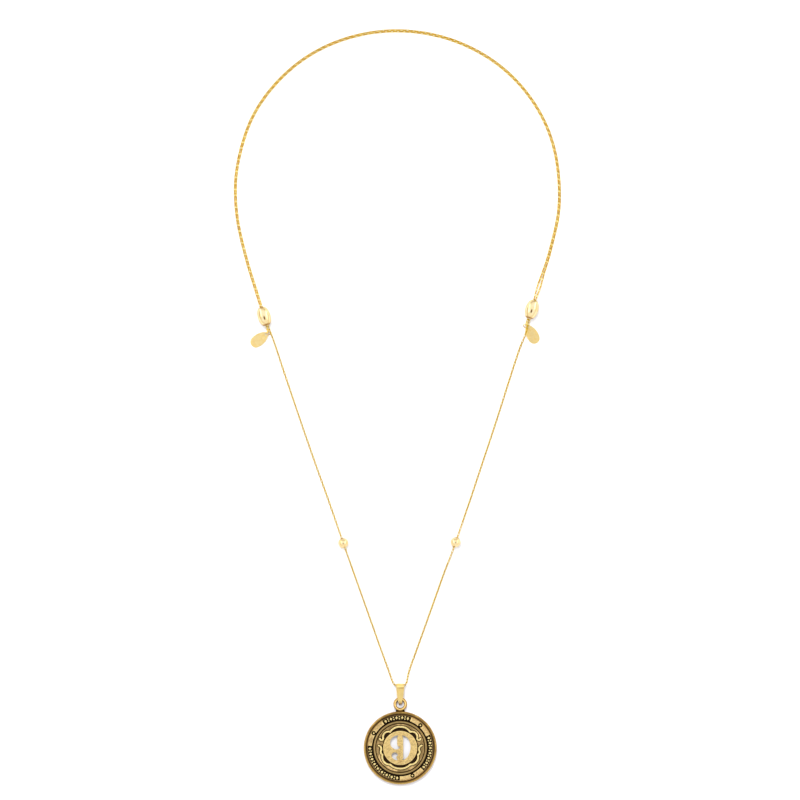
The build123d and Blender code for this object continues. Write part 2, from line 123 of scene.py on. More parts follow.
# The tag rings and the end links that hold them
ring = {
    "wire": 0.25 * mm,
    "gap": 0.07 * mm,
    "ringWidth": 1.86 * mm,
    "ringTilt": 47.0,  # degrees, off the floor
    "ringOut": 2.95 * mm,  # from a bead's mouth to the ring's middle
    "linkLength": 1.95 * mm,
    "linkRoll": 25.0,  # degrees, about its length
}
ringPath = (ring["ringWidth"] - ring["wire"]) / 2

bail = {
    "top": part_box("bail")[1].y,
    "length": 7.25 * mm,
    "width": 2.9 * mm,
    "band": 0.3 * mm,  # thickness of the metal
    "eye": 2.6 * mm,  # height of the fold that the chain runs through
    "fold": 1.95 * mm,  # and of the one that holds the medallion's ring
    "strandGap": 0.4 * mm,  # from the chain to the inside of the eye
}
bailAxisY = bail["top"] - bail["eye"] / 2
bailStrandY = bailAxisY + bail["eye"] / 2 - bail["band"] - chain["strand"] / 2 - bail["strandGap"]

medallion = {"ringWidth": 4.8 * mm}
medallion["ringY"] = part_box("medallion")[1].y - medallion["ringWidth"] / 2


def beside(seat, reach, lane, way):
    across = lane * reach.lanes * chain["pitch"] / 2
    along = way * (seat.half + reach.out * mm)
    floor = chain["strand"] / 2
    return near(seat, across, along, floor + reach.rise * (seat.height - floor))


def onFloor(points):
    return [Vector((x * mm, y * mm, chain["strand"] / 2)) for x, y in points]


# Middle line round the neck moved outward or inward by half a pitch
def neckStrand(lane):
    first = beside(leftSlider, leftPairAbove[0], 0, 1)
    last = beside(rightSlider, rightPairAbove[0], 0, 1)
    line = [first] + onFloor(neckRoute) + [last]
    moved = []
    for before, point, after in zip(line, line[1:], line[2:]):
        heading = Vector((after.x - before.x, after.y - before.y, 0)).normalized()
        outward = Vector((-heading.y, heading.x, 0))
        moved.append(point + outward * (lane * chain["pitch"] / 2))
    return moved


# Single strand from its slider, through its stopper, to the bail
def fall(side):
    left = side < 0
    slider = leftSlider if left else rightSlider
    stopper = leftStopper if left else rightStopper
    below = leftStrandBelow if left else rightStrandBelow
    beyond = leftStopperBelow if left else rightStopperBelow
    points = [beside(slider, reach, 1, -1) for reach in below]
    points += onFloor(leftUpperFall if left else rightUpperFall)
    points += [beside(stopper, reach, 1, 1) for reach in stopperAbove]
    points += [beside(stopper, reach, 1, -1) for reach in beyond]
    points += onFloor(leftLowerFall if left else rightLowerFall)
    floor = chain["strand"] / 2
    for row in bailRun:
        outward = row.left if left else row.right
        height = floor + row.rise * (bail["eye"] / 2 - floor)
        points.append(Vector((side * outward * mm, bailStrandY + row.above * mm, height)))
    return points


def tagRingMiddle(seat, lane):
    height = ringPath * sin(radians(ring["ringTilt"])) + ring["wire"] / 2
    return near(seat, lane * chain["pitch"] / 2, -seat.half - ring["ringOut"], height)


# Direction up the tilted tag ring, towards the bead
def ringSlope(seat):
    tilt = radians(ring["ringTilt"])
    return turned(seat, 0, cos(tilt), sin(tilt))


# Middle of the end link's wire at its lower and upper ends
def endLinkEnds(seat, lane):
    slope = ringSlope(seat)
    lower = tagRingMiddle(seat, lane) + slope * (ringPath - ring["wire"] - ring["gap"])
    return lower, lower + slope * (ring["linkLength"] - ring["wire"])


# Width direction of the end link
def endLinkAcross(seat):
    tilt = radians(ring["ringTilt"])
    roll = radians(ring["linkRoll"])
    return turned(seat, 0, -sin(tilt), cos(tilt)) * cos(roll) + turned(seat, 1, 0, 0) * sin(roll)


def strandEnd(seat, lane):
    upper = endLinkEnds(seat, lane)[1]
    stub = turned(seat, 0, ring["wire"] / 2 + chain["strand"] / 2 + ring["gap"], 0)
    return [upper + stub, near(seat, lane * chain["pitch"] / 2, 0, seat.height)]


# One strand from its end link to the bail: lane 1 outer, lane -1 inner
def strandRoute(lane):
    start, finish = (leftSlider, rightSlider) if lane > 0 else (rightSlider, leftSlider)
    above = {-1: leftPairAbove, 1: rightPairAbove}
    points = strandEnd(start, lane)
    points += [beside(start, reach, lane, 1) for reach in reversed(above[start.side])]
    roundNeck = neckStrand(lane)
    points += roundNeck if lane > 0 else list(reversed(roundNeck))
    points += [beside(finish, reach, lane, 1) for reach in above[finish.side]]
    return points + fall(finish.side)


# Shader nodes

# A node's output, with arithmetic that adds Math nodes
class Wire:
    def __init__(self, tree, socket):
        self.tree = tree
        self.socket = socket

    def maths(self, operation, *values):
        inputs = dict(enumerate((self,) + values))
        return self.tree.node("ShaderNodeMath", {"operation": operation}, inputs)

    def __add__(self, other):
        return self.maths("ADD", other)

    def __radd__(self, other):
        return self.maths("ADD", other)

    def __sub__(self, other):
        return self.maths("SUBTRACT", other)

    def __rsub__(self, other):
        return (self * -1.0).maths("ADD", other)

    def __mul__(self, other):
        return self.maths("MULTIPLY", other)

    def __rmul__(self, other):
        return self.maths("MULTIPLY", other)

    def __truediv__(self, other):
        return self.maths("DIVIDE", other)

    # 0 below the low value, 1 above the high one, smooth between
    def rise(self, low, high):
        settings = {"interpolation_type": "SMOOTHSTEP"}
        inputs = {"Value": self, "From Min": low, "From Max": high}
        return self.tree.node("ShaderNodeMapRange", settings, inputs)

    # 1 between two edges, fading over a soft width
    def between(self, low, high, soft):
        return self.rise(low - soft, low + soft) * (1 - self.rise(high - soft, high + soft))


class Tree:
    def __init__(self, tree):
        self.tree = tree

    def node(self, kind, settings=None, inputs=None, output=0):
        node = self.tree.nodes.new(kind)
        for name, value in (settings or {}).items():
            setattr(node, name, value)
        for name, value in (inputs or {}).items():
            self.put(node.inputs[name], value)
        return Wire(self, node.outputs[output])

    def put(self, socket, value):
        if isinstance(value, Wire):
            self.tree.links.new(value.socket, socket)
        else:
            socket.default_value = value

    # In a Mix node the sockets for colours are inputs 6 and 7 and output 2
    def mix(self, factor, first, second, blend="MIX"):
        colours = [(*c, 1.0) if isinstance(c, tuple) else c for c in (first, second)]
        settings = {"data_type": "RGBA", "blend_type": blend}
        inputs = {0: factor, 6: colours[0], 7: colours[1]}
        return self.node("ShaderNodeMix", settings, inputs, 2)

    def noise(self, vector, scale, detail=2.0, roughness=0.5):
        inputs = {"Vector": vector, "Scale": scale, "Detail": detail, "Roughness": roughness}
        return self.node("ShaderNodeTexNoise", {}, inputs)

    def bump(self, height, distance, strength=1.0):
        inputs = {"Height": height, "Distance": distance, "Strength": strength}
        return self.node("ShaderNodeBump", {}, inputs)

    def distance(self, vector, place):
        settings = {"operation": "DISTANCE"}
        return self.node("ShaderNodeVectorMath", settings, {0: vector, 1: place}, "Value")

    def split(self, vector):
        axes = self.node("ShaderNodeSeparateXYZ", inputs={0: vector}).socket.node
        return [Wire(self, axis) for axis in axes.outputs]

    # A value kept on the mesh's vertices
    def value(self, name):
        return self.node("ShaderNodeAttribute", {"attribute_name": name}, output="Fac")


def newMaterial(name, fixed, paint, *look):
    material = bpy.data.materials.new(name)
    material.use_nodes = True
    tree = Tree(material.node_tree)
    shader = material.node_tree.nodes["Principled BSDF"]
    for socket, value in fixed.items():
        shader.inputs[socket].default_value = value
    place = tree.node("ShaderNodeTexCoord", output="Object")
    for socket, value in paint(tree, place, *look).items():
        tree.put(shader.inputs[socket], value)
    return material


# Golds: mottled between pale and warm metal, with painted shade where the vertices hold it.
# Mottle and grain are a noise's scale, detail and, for the satin grain, roughness. The metal's own
# roughness lies between two values.

chainLook = {
    "pale": (1.0, 0.86, 0.24),
    "warm": (0.98, 0.75, 0.13),
    "hidden": (0.58, 0.28, 0.0),
    # Painted shade on the single strands, which come out darker than the pairs
    "single": (0.77, 0.71, 0.24),  # share of the light that the single strands keep
    "rough": (0.2, 0.3),
    "mottle": (700.0, 3.0),
    "mottleEdges": (0.35, 0.65),
    "grain": (5200.0, 2.0),
    "grainDepth": 0.003 * mm,
}

# Beads are paler than the chain, with painted shade at the mouths of their bores
beadLook = {
    "pale": (0.84, 0.695, 0.40),
    "warm": (0.80, 0.62, 0.30),
    "hidden": (0.26, 0.085, 0.0),
    "rough": (0.10, 0.18),
    "mottle": (600.0, 3.0),
    "mottleEdges": (0.35, 0.65),
    "grain": (4200.0, 2.0),
    "grainDepth": 0.002 * mm,
}

satinLook = {
    "pale": (1.0, 0.81, 0.37),
    "warm": (0.90, 0.67, 0.25),
    "hidden": (0.35, 0.16, 0.03),
    "rough": (0.34, 0.46),
    "mottle": (900.0, 4.0),
    "mottleEdges": (0.3, 0.7),
    "grain": (4200.0, 3.0, 0.65),
    "grainDepth": 0.012 * mm,
}

# The bail is the same but more yellow, with painted shade in its folds, along its edges and in its
# seam
bailLook = satinLook | {"pale": (1.0, 0.80, 0.32), "warm": (0.94, 0.70, 0.24)}

# The tag rings and end links get painted shade inside the rings and where the two touch
ringLook = {"rim": 0.04 * mm, "inside": (0.42, 0.17, 0.0), "touch": (0.3 * mm, 0.5 * mm)}


def gild(tree, place, look):
    mottle = tree.noise(place, *look["mottle"]).rise(*look["mottleEdges"])
    grain = tree.noise(place, *look["grain"])
    colour = tree.mix(mottle, look["pale"], look["warm"])
    smooth, rough = look["rough"]
    return {
        # painted shade: the colour goes towards the look's hidden colour
        "Base Color": tree.mix(tree.value("hidden"), colour, look["hidden"]),
        "Roughness": smooth + mottle * (rough - smooth),
        "Normal": tree.bump(grain, look["grainDepth"]),
    }


def paintChain(tree, place):
    inputs = gild(tree, place, chainLook)
    # painted shade: the single strands are multiplied darker
    alone = tree.value("single")
    inputs["Base Color"] = tree.mix(alone, inputs["Base Color"], chainLook["single"], "MULTIPLY")
    return inputs


def paintRing(tree, place):
    inputs = paintChain(tree, place)
    rim = ringLook["rim"]
    inside = 0
    # painted shade round the inside of each tag ring and where its end link touches it
    for seat, lane in ((leftSlider, 1), (rightSlider, -1)):
        fromMiddle = tree.distance(place, tagRingMiddle(seat, lane))
        fromTouch = tree.distance(place, endLinkEnds(seat, lane)[0])
        inside = inside + (1 - fromMiddle.rise(ringPath - rim, ringPath + rim))
        inside = inside + (1 - fromTouch.rise(*ringLook["touch"]))
    inside = inside.maths("MINIMUM", 1.0)
    inputs["Base Color"] = tree.mix(inside, inputs["Base Color"], ringLook["inside"])
    return inputs


# Cast gold: bright where it is worn, through tan and olive to black where the patina lies
# It also has painted shade and painted highlights, each named where it is painted
cast = {
    "thickness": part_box("medallion")[1].z,
    "bright": (1.0, 0.815, 0.35),
    "panel": (0.97, 0.735, 0.31),
    "rim": (0.27, 0.165, 0.045),
    "rimEdge": (0.42, 0.22, 0.015),
    # Painted highlight along the rim's crest
    "crestHighlight": (0.66, 0.45, 0.13),
    "disc": (0.78, 0.53, 0.195),
    "tan": (0.72, 0.49, 0.23),
    "fieldTan": (1.0, 0.71, 0.31),
    "olive": (0.28, 0.185, 0.07),
    # The top ring: painted highlight along its wire's middle, painted shade on its flanks and bore
    "ring": (0.95, 0.70, 0.27),
    "ringFlankShade": (0.42, 0.22, 0.04),
    "ringBoreShade": (0.16, 0.07, 0.02),
    "black": (0.016, 0.010, 0.005),
    "fieldBlack": (0.045, 0.027, 0.013),
    # Painted shade on the walls of the cut-outs
    "wall": (0.36, 0.27, 0.15),
    "rough": (0.40, 0.62),  # of clean metal and of patina
    "stain": (420.0, 4.0, 0.6),  # this, grain and speck are scale, detail and roughness
    "grain": (3000.0, 3.0, 0.6),
    "grainDepth": 0.03 * mm,
    "speck": (2000.0, 3.0, 0.6),
    "speckEdges": (0.38, 0.66),
    # Directions in the face, in degrees anticlockwise from +X
    # Painted shade over the upper left of the face
    "shadedSide": 140.0,
    "shadedSideEdges": (0.1, 0.95),  # as cosines
    "ornament": [(70, 124), (-44, 24), (176, 269.3)],
    "ornamentSoft": 0.01,
    "dots": [48.3, 151.0, 294.0],
    # Where parts of the face begin or end, in millimetres from its middle: two edges to fade
    # between, or an inner and an outer edge and how softly they fade
    "zones": {
        "discLip": (5.6, 5.9, 0.08),
        "disc": (5.9, 6.05),
        "field": (6.1, 8.5, 0.05),
        "moulding": (8.55, 9.5, 0.04),
        "panels": (9.7, 9.9),
        "dotMiddle": 10.6,
        "dotHollow": (0.72, 0.85),  # from the dot's middle
        "panelRim": (10.9, 11.15),
        "panelWear": (10.9, 11.5, 0.1),
        "ornamentRim": (11.2, 11.5),
        "slopeFoot": (11.62, 11.94, 0.1),
        "slope": (11.65, 12.1, 0.1),
        "inside": (11.9, 12.1),
        "rim": (12.0, 12.15),
        "crestHighlight": (12.34, 12.58, 0.06),
        "rimEdge": (12.45, 12.65),
        # Painted shadow of the top ring on the rim
        "ringShadow": (12.78, 13.5, 0.05),
        "ring": (12.8, 12.95),
        "ringBore": (1.4, 1.6),  # these three from the top ring's middle
        "ringFlank": (1.72, 2.08, 0.12),
        "ringOutside": (2.2, 2.4),
    },
    # How much the stain unsettles a height or relief, and the two values that it then fades
    # between. Relief is millimetres over what is round it, and height is a share of the thickness.
    "levels": {
        "worn": (0.06, 0.05, 0.13),
        "patina": (0.08, -0.16, -0.05),
        "fieldPatina": (0.05, -0.09, -0.03),
        "back": (0.0, 0.1, 0.2),
        "ground": (0.04, 0.55, 0.63),
        "wall": (0.0, 0.76, 0.84),
    },
    # Blotches: how strong the stain is in them, and the value that it is added to
    "blotches": {"field": (5.0, 0.6), "disc": (4.0, 0.4), "crestHighlight": (4.0, 0.65)},
    # The crest's painted highlight is patchy and brighter towards the foot of the face
    "crestTop": 0.8,
    "crestFall": 30.0 * mm,  # the crest is brighter towards the foot of the face
    # How strongly one colour goes over another
    "shares": {
        "fieldOlive": 0.9,
        "discBright": 0.15,
        "sideShade": 0.5,
        "dullUnworn": 0.6,
        "lipWearAndHighlight": 0.6,
        "panelWorn": 0.6,
        "speck": 0.5,
        "speckClean": 0.4,
        "panelLift": 0.9,
        "ornamentLift": 0.6,
        "fieldDark": 0.8,
        "slopeDark": 0.75,
    },
}


def paintCast(tree, place):
    zone, level, share = cast["zones"], cast["levels"], cast["shares"]
    x, y, z = tree.split(place)
    radius = (x * x + y * y).maths("SQRT") / mm
    height = z / cast["thickness"]
    relief = tree.value("relief")
    stain = tree.noise(place, *cast["stain"]) - 0.5
    grain = tree.noise(place, *cast["grain"])
    speck = tree.noise(place, *cast["speck"])

    def past(value, name):
        unsettled, low, high = level[name]
        return (value + stain * unsettled).rise(low, high)

    # Cosine of the angle off a direction
    def towards(angle):
        turn = radians(angle)
        return (x * cos(turn) + y * sin(turn)) / (radius * mm)

    def fromDot(angle):
        aside = x / mm - zone["dotMiddle"] * cos(radians(angle))
        above = y / mm - zone["dotMiddle"] * sin(radians(angle))
        return (aside * aside + above * above).maths("SQRT")

    def stained(name):
        strength, start = cast["blotches"][name]
        return stain * strength + start

    disc = 1 - radius.rise(*zone["disc"])
    inside = 1 - radius.rise(*zone["inside"])
    field = radius.between(*zone["field"])
    dull = radius.between(*zone["moulding"]) + radius.between(*zone["slope"])
    onRing = radius.rise(*zone["ring"])
    rim = radius.rise(*zone["rim"]) * (1 - onRing)
    plain = 1  # round the face where there is neither ornament nor a dot
    for start, end in cast["ornament"]:
        reach = cos(radians((end - start) / 2))
        soft = cast["ornamentSoft"]
        plain = plain - towards((start + end) / 2).rise(reach - soft, reach + soft)
    for angle in cast["dots"]:
        plain = plain * fromDot(angle).rise(*zone["dotHollow"])

    # painted shade over the upper left of the face
    sideShade = towards(cast["shadedSide"]).rise(*cast["shadedSideEdges"]) * (1 - disc) * inside
    olive = field * stained("field").rise(0.0, 1.0) * share["fieldOlive"]
    bright = disc * stained("disc").rise(0.0, 1.0) * share["discBright"]
    colour = tree.mix(disc, cast["tan"], cast["disc"])
    colour = tree.mix(field, colour, cast["fieldTan"])
    colour = tree.mix(olive, colour, cast["olive"])
    colour = tree.mix(bright, colour, cast["bright"])
    colour = tree.mix(sideShade * share["sideShade"], colour, cast["olive"])
    colour = tree.mix(dull, colour, cast["olive"])

    unworn = share["dullUnworn"]
    worn = past(relief, "worn") * inside * (1 - unworn * dull) * (1 - unworn * disc)
    # the disc's lip is bright all round: wear and a painted highlight on its edge
    worn = worn.maths("MAXIMUM", share["lipWearAndHighlight"] * radius.between(*zone["discLip"]))
    panelWorn = share["panelWorn"] * plain * radius.between(*zone["panelWear"])
    worn = worn.maths("MAXIMUM", panelWorn)
    shine = tree.mix(plain * radius.rise(*zone["panels"]), cast["bright"], cast["panel"])
    colour = tree.mix(worn, colour, shine)

    rimColour = tree.mix(radius.rise(*zone["rimEdge"]), cast["rim"], cast["rimEdge"])
    colour = tree.mix(rim, colour, rimColour)
    # painted highlight along the rim's crest, brighter towards the foot of the face
    crestHighlight = (stained("crestHighlight") - y / cast["crestFall"]).rise(0.0, cast["crestTop"])
    colour = tree.mix(radius.between(*zone["crestHighlight"]) * crestHighlight, colour, cast["crestHighlight"])
    specks = speck.rise(*cast["speckEdges"]) * share["speck"] * (1 - share["speckClean"] * worn)
    colour = tree.mix(specks, colour, cast["olive"])
    # painted shade on the walls of the cut-outs in the disc
    colour = tree.mix(disc * (1 - past(height, "wall")), colour, cast["wall"])

    ringMiddle = (0, medallion["ringY"], cast["thickness"] / 2)
    ringOut = tree.distance(place, ringMiddle) / mm
    # painted highlight along the middle of the top ring's wire, painted shade on its flanks and
    # bore
    ringColour = tree.mix(ringOut.between(*zone["ringFlank"]), cast["ringFlankShade"], cast["ring"])
    ringColour = tree.mix(1 - ringOut.rise(*zone["ringBore"]), ringColour, cast["ringBoreShade"])
    colour = tree.mix(onRing, colour, ringColour)

    lift = share["panelLift"] * plain * radius.rise(*zone["panelRim"])
    lift = lift + share["ornamentLift"] * (1 - plain) * radius.rise(*zone["ornamentRim"])
    low = 1 - past(relief, "patina") * past(height, "ground")
    dark = low * inside * (1 - disc) * past(height, "back") * (1 - lift)
    dark = dark + field * (1 - past(relief, "fieldPatina")) * share["fieldDark"]
    # painted shadow of the top ring on the rim round it
    dark = dark + radius.between(*zone["ringShadow"]) * ringOut.rise(*zone["ringOutside"])
    dark = dark + share["slopeDark"] * radius.between(*zone["slopeFoot"])
    dark = dark.maths("MINIMUM", 1.0)
    colour = tree.mix(dark, colour, tree.mix(field, cast["black"], cast["fieldBlack"]))
    clean, rough = cast["rough"]
    return {
        "Base Color": colour,
        "Roughness": clean + dark * (rough - clean),
        "Normal": tree.bump(grain, cast["grainDepth"]),
    }


metal = {"Metallic": 1.0}
warmEdge = metal | {"Specular Tint": (0.80, 0.58, 0.30, 1.0)}
chainGold = newMaterial("chainGold", warmEdge, paintChain)
beadGold = newMaterial("beadGold", warmEdge, gild, beadLook)
ringGold = newMaterial("ringGold", warmEdge, paintRing)
satinGold = newMaterial("satinGold", metal, gild, satinLook)
bailGold = newMaterial("bailGold", warmEdge, gild, bailLook)
castGold = newMaterial("castGold", metal, paintCast)


# Chain links

# Lengths and widths of links are measured to the middle of their wire
chain |= {
    "wire": 0.24 * mm,
    "link": 1.31 * mm,
    "linkWidth": 0.53 * mm,
    "singleWidth": 0.62 * mm,  # of the links that have no second strand beside them
    "endWidth": 0.55 * mm,  # of the first and last link, which hold the end links
    "spacing": 1.049 * mm,  # from one link to the next
    "roll": 45.0,  # degrees that links are turned, to one side and the other in turn
    "lean": 14.0,  # degrees that the whole chain is turned over
    "sway": 5.0,  # and how far that changes along it
    "swayLength": 47.0 * mm,
    "loose": 4.0,  # degrees that a link may be off its roll
    "lift": 0.05 * mm,
    # Painted shade on every second link, for the pairs and for the single strands
    "shade": 0.75,  # how much darker every second link is
    "singleShade": 0.4,
    "shadeSpread": (0.7, 1.1),
    # Painted shade inside a link's ends, where the next link passes through
    "endShadeFrom": 0.45,  # share of the half length where the dark of a link's end begins
    "endShadeOver": 0.4,
    "endShadeMiddle": 0.5,  # the dark on the wire's upper and lower side, which grows inwards
    "endShadeTurn": 0.7,
    "lineOrder": 3,
    "lineSteps": 24,
    "sameSpot": 1e-7,  # points of the line that are closer than this count as one
    "sides": 6,
    "endSteps": 7,
    "seed": 9,
}


# The line that links follow, read from a smooth curve through the route's control points
def smoothLine(points, name):
    curve = bpy.data.curves.new(name, "CURVE")
    curve.dimensions = "3D"
    curve.resolution_u = chain["lineSteps"]
    spline = curve.splines.new("NURBS")
    spline.points.add(len(points) - 1)
    for target, point in zip(spline.points, points):
        target.co = (*point, 1.0)
    spline.order_u = chain["lineOrder"]
    spline.use_endpoint_u = True
    carrier = bpy.data.objects.new(name, curve)
    bpy.context.scene.collection.objects.link(carrier)
    bpy.context.view_layer.update()
    mesh = bpy.data.meshes.new_from_object(carrier)
    line = np.array([v.co for v in mesh.vertices])
    bpy.data.objects.remove(carrier)
    bpy.data.curves.remove(curve)
    bpy.data.meshes.remove(mesh)
    return line


# Points round a straight-sided oval, with the directions that face out of it
def oval(length, width, steps):
    right = np.linspace(-pi / 2, pi / 2, steps + 1)
    left = np.linspace(pi / 2, 3 * pi / 2, steps + 1)
    turn = np.concatenate([right, left])
    middle = np.where(np.arange(len(turn)) <= steps, 1, -1) * (length - width) / 2
    return middle + np.cos(turn) * width / 2, np.sin(turn) * width / 2, np.cos(turn), np.sin(turn)


# Vertices of one link: its middle, its length direction and its width direction
def linkVertices(middle, along, across, length, width):
    u, v, outU, outV = oval(length, width, chain["endSteps"])
    face = np.cross(along, across)
    spin = np.arange(chain["sides"]) * 2 * pi / chain["sides"]
    core = middle + np.outer(u, along) + np.outer(v, across)
    outward = np.outer(outU, along) + np.outer(outV, across)
    wire = chain["wire"] / 2
    ringCut = np.cos(spin)[:, None] * outward[:, None] + np.sin(spin)[:, None] * face
    return (core[:, None] + wire * ringCut).reshape(-1, 3)


# Painted shade on each vertex of a link: 1 inside its ends, where the next link sits, and 0 outside
def linkEndShade():
    u = oval(chain["link"], chain["linkWidth"], chain["endSteps"])[0]
    spin = np.arange(chain["sides"]) * 2 * pi / chain["sides"]
    reached = np.abs(u) / (chain["link"] / 2)
    nearEnd = np.clip((reached - chain["endShadeFrom"]) / chain["endShadeOver"], 0, 1)
    inner = np.clip(chain["endShadeMiddle"] - np.cos(spin) * chain["endShadeTurn"], 0, 1)
    return (nearEnd[:, None] * inner[None, :]).ravel()


# One or more closed tubes of vertices, given ring by ring
def meshFromRings(name, vertices, rings, sides, copies):
    around = np.arange(rings)[:, None]
    side = np.arange(sides)[None, :]
    nextAround = (around + 1) % rings
    nextSide = (side + 1) % sides
    corners = [around * sides + side, nextAround * sides + side]
    corners += [nextAround * sides + nextSide, around * sides + nextSide]
    quads = np.stack([np.broadcast_to(c, (rings, sides)) for c in corners], -1).reshape(-1, 4)
    faces = (quads[None] + (np.arange(copies) * rings * sides)[:, None, None]).reshape(-1, 4)
    mesh = bpy.data.meshes.new(name)
    mesh.from_pydata(vertices.tolist(), [], faces.tolist())
    mesh.shade_smooth()
    mesh.validate()
    piece = bpy.data.objects.new(name, mesh)
    bpy.context.scene.collection.objects.link(piece)
    return piece


# A value for each vertex, which a material can read by name
def addValues(piece, name, values):
    layer = piece.data.attributes.new(name, "FLOAT", "POINT")
    layer.data.foreach_set("value", np.asarray(values, dtype=np.float32))


# Points of the whole chain's line, and how far along it each of them is
def chainLine():
    middle = [Vector((0, bailStrandY, bail["eye"] / 2))]
    points = strandRoute(1) + middle + list(reversed(strandRoute(-1)))
    line = smoothLine(points, "chainLine")
    steps = np.linalg.norm(np.diff(line, axis=0), axis=1)
    line = line[np.concatenate([[True], steps > chain["sameSpot"]])]
    steps = np.linalg.norm(np.diff(line, axis=0), axis=1)
    return line, np.concatenate([[0], np.cumsum(steps)])


# Point some way along the line, which goes straight on past its ends
def pointAlong(line, travelled, distance):
    inside = np.clip(distance, 0, travelled[-1])
    point = np.array([np.interp(inside, travelled, line[:, axis]) for axis in range(3)])
    heading = line[1] - line[0] if distance < travelled[-1] / 2 else line[-1] - line[-2]
    return point + heading / np.linalg.norm(heading) * (distance - inside)


# Every link of the chain, split in the bail into its outer and inner strands
def layChain():
    line, travelled = chainLine()
    # The first and last links reach past the line, round the wire of the end links
    hold = ring["wire"] / 2 + chain["strand"] / 2 + ring["gap"]
    hold += ring["wire"] / 2 + chain["wire"] / 2
    whole = travelled[-1] + 2 * hold - chain["link"]
    count = round(whole / chain["spacing"]) + 1
    spacing = whole / (count - 1)
    firstMiddle = chain["link"] / 2 - hold
    rng = np.random.default_rng(chain["seed"])
    endShade = linkEndShade()
    ends = {0: endLinkAcross(leftSlider), count - 1: endLinkAcross(rightSlider)}
    strands = {"outer": [], "inner": []}
    for i in range(count):
        centre = firstMiddle + i * spacing
        back = pointAlong(line, travelled, centre - chain["link"] / 2)
        front = pointAlong(line, travelled, centre + chain["link"] / 2)
        along = (front - back) / np.linalg.norm(front - back)
        upright = np.array([0, 0, 1.0]) - along * along[2]
        upright /= np.linalg.norm(upright)
        sideways = np.cross(along, upright)
        sway = chain["lean"] + chain["sway"] * sin(2 * pi * centre / chain["swayLength"])
        roll = radians(chain["roll"] * (-1) ** i + sway + rng.uniform(-1, 1) * chain["loose"])
        across = upright * cos(roll) + sideways * sin(roll)
        alone = (back[1] + front[1]) / 2 < leftSlider.y
        width = chain["singleWidth"] if alone else chain["linkWidth"]
        shade = chain["singleShade"] if alone else chain["shade"]
        if i in ends:
            across = np.cross(along, np.array(ends[i]))
            across /= np.linalg.norm(across)
            width = chain["endWidth"]
        lift = chain["lift"] + (width - chain["linkWidth"]) / 2
        middle = (back + front) / 2 + np.array((0, 0, lift))
        vertices = linkVertices(middle, along, across, chain["link"], width)
        # painted shade: inside the links' ends, and over every second link
        hidden = np.maximum(endShade, shade * (i % 2) * rng.uniform(*chain["shadeSpread"]))
        single = np.full(len(endShade), float(alone))
        strands["outer" if i < count / 2 else "inner"].append((vertices, hidden, single))
    rings = 2 * (chain["endSteps"] + 1)
    for name, links in strands.items():
        vertices, hidden, single = (np.concatenate(values) for values in zip(*links))
        piece = meshFromRings(f"{name}Links", vertices, rings, chain["sides"], len(links))
        addValues(piece, "hidden", hidden)
        addValues(piece, "single", single)
        piece.data.materials.append(chainGold)
        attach(piece, "root")
        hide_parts(f"chain_{name}")
        print(name, "strand:", len(links), "links,", 2 * len(piece.data.polygons), "triangles")
    print("chain line", round(travelled[-1] / mm, 1), "mm, spacing", round(spacing / mm, 3), "mm")


layChain()


# Beads

bead = {
    "sliderLength": 6.4 * mm,
    "sliderWidth": 4.5 * mm,
    "sliderEnd": 2.3 * mm,  # width at its mouths
    "sliderBore": 1.4 * mm,
    "stopperWidth": 3.5 * mm,
    "stopperBore": 0.8 * mm,
    "lip": 0.12 * mm,
    # Painted shade at the mouths of the bores
    "sliderFades": (0.6 * mm, 0.15 * mm),  # how far the dark reaches from lower and upper mouth
    "stopperFades": (0.15 * mm, 0.22 * mm),
    "fadePower": 0.6,
    "around": 72,
    "crownSteps": 34,
    "lipSteps": 4,
}


# Outline of a drilled bead from mouth to mouth, as (radius, place along the axis)
def beadOutline(half, widest, reach, bore):
    endAngle = asin(half / reach)
    turn = np.linspace(-endAngle, endAngle, bead["crownSteps"])
    outside = np.stack([widest * np.cos(turn), reach * np.sin(turn)], 1)
    lip = bead["lip"]
    lipTurn = np.linspace(0, pi / 2, bead["lipSteps"] + 1)
    upper = [bore + lip - lip * np.sin(lipTurn), half - lip + lip * np.cos(lipTurn)]
    upper = np.stack(upper, 1)
    lower = upper[::-1] * (1, -1)
    return np.concatenate([outside, upper, lower])


def turnBead(name, seat, outline, fades):
    spin = np.arange(bead["around"]) * 2 * pi / bead["around"]
    radius, along = outline[:, 0:1], outline[:, 1:2]
    points = np.stack([radius * np.cos(spin), along + 0 * spin, radius * np.sin(spin)], -1)
    piece = meshFromRings(name, points.reshape(-1, 3), len(outline), bead["around"], 1)
    lean = Matrix.Rotation(radians(-seat.side * seat.lean), 4, "Z")
    piece.data.transform(Matrix.Translation((seat.x, seat.y, seat.height)) @ lean)
    normals = bmesh.new()
    normals.from_mesh(piece.data)
    bmesh.ops.recalc_face_normals(normals, faces=normals.faces)
    normals.to_mesh(piece.data)
    normals.free()
    # painted shade that grows towards each mouth of the bore
    toMouth = outline[:, 1].max() - np.abs(outline[:, 1])
    fade = np.where(outline[:, 1] < 0, fades[0], fades[1])
    hidden = np.clip(1 - toMouth / fade, 0, 1) ** bead["fadePower"]
    addValues(piece, "hidden", np.repeat(hidden, bead["around"]))
    piece.data.materials.append(beadGold)
    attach(piece, "root")
    return piece


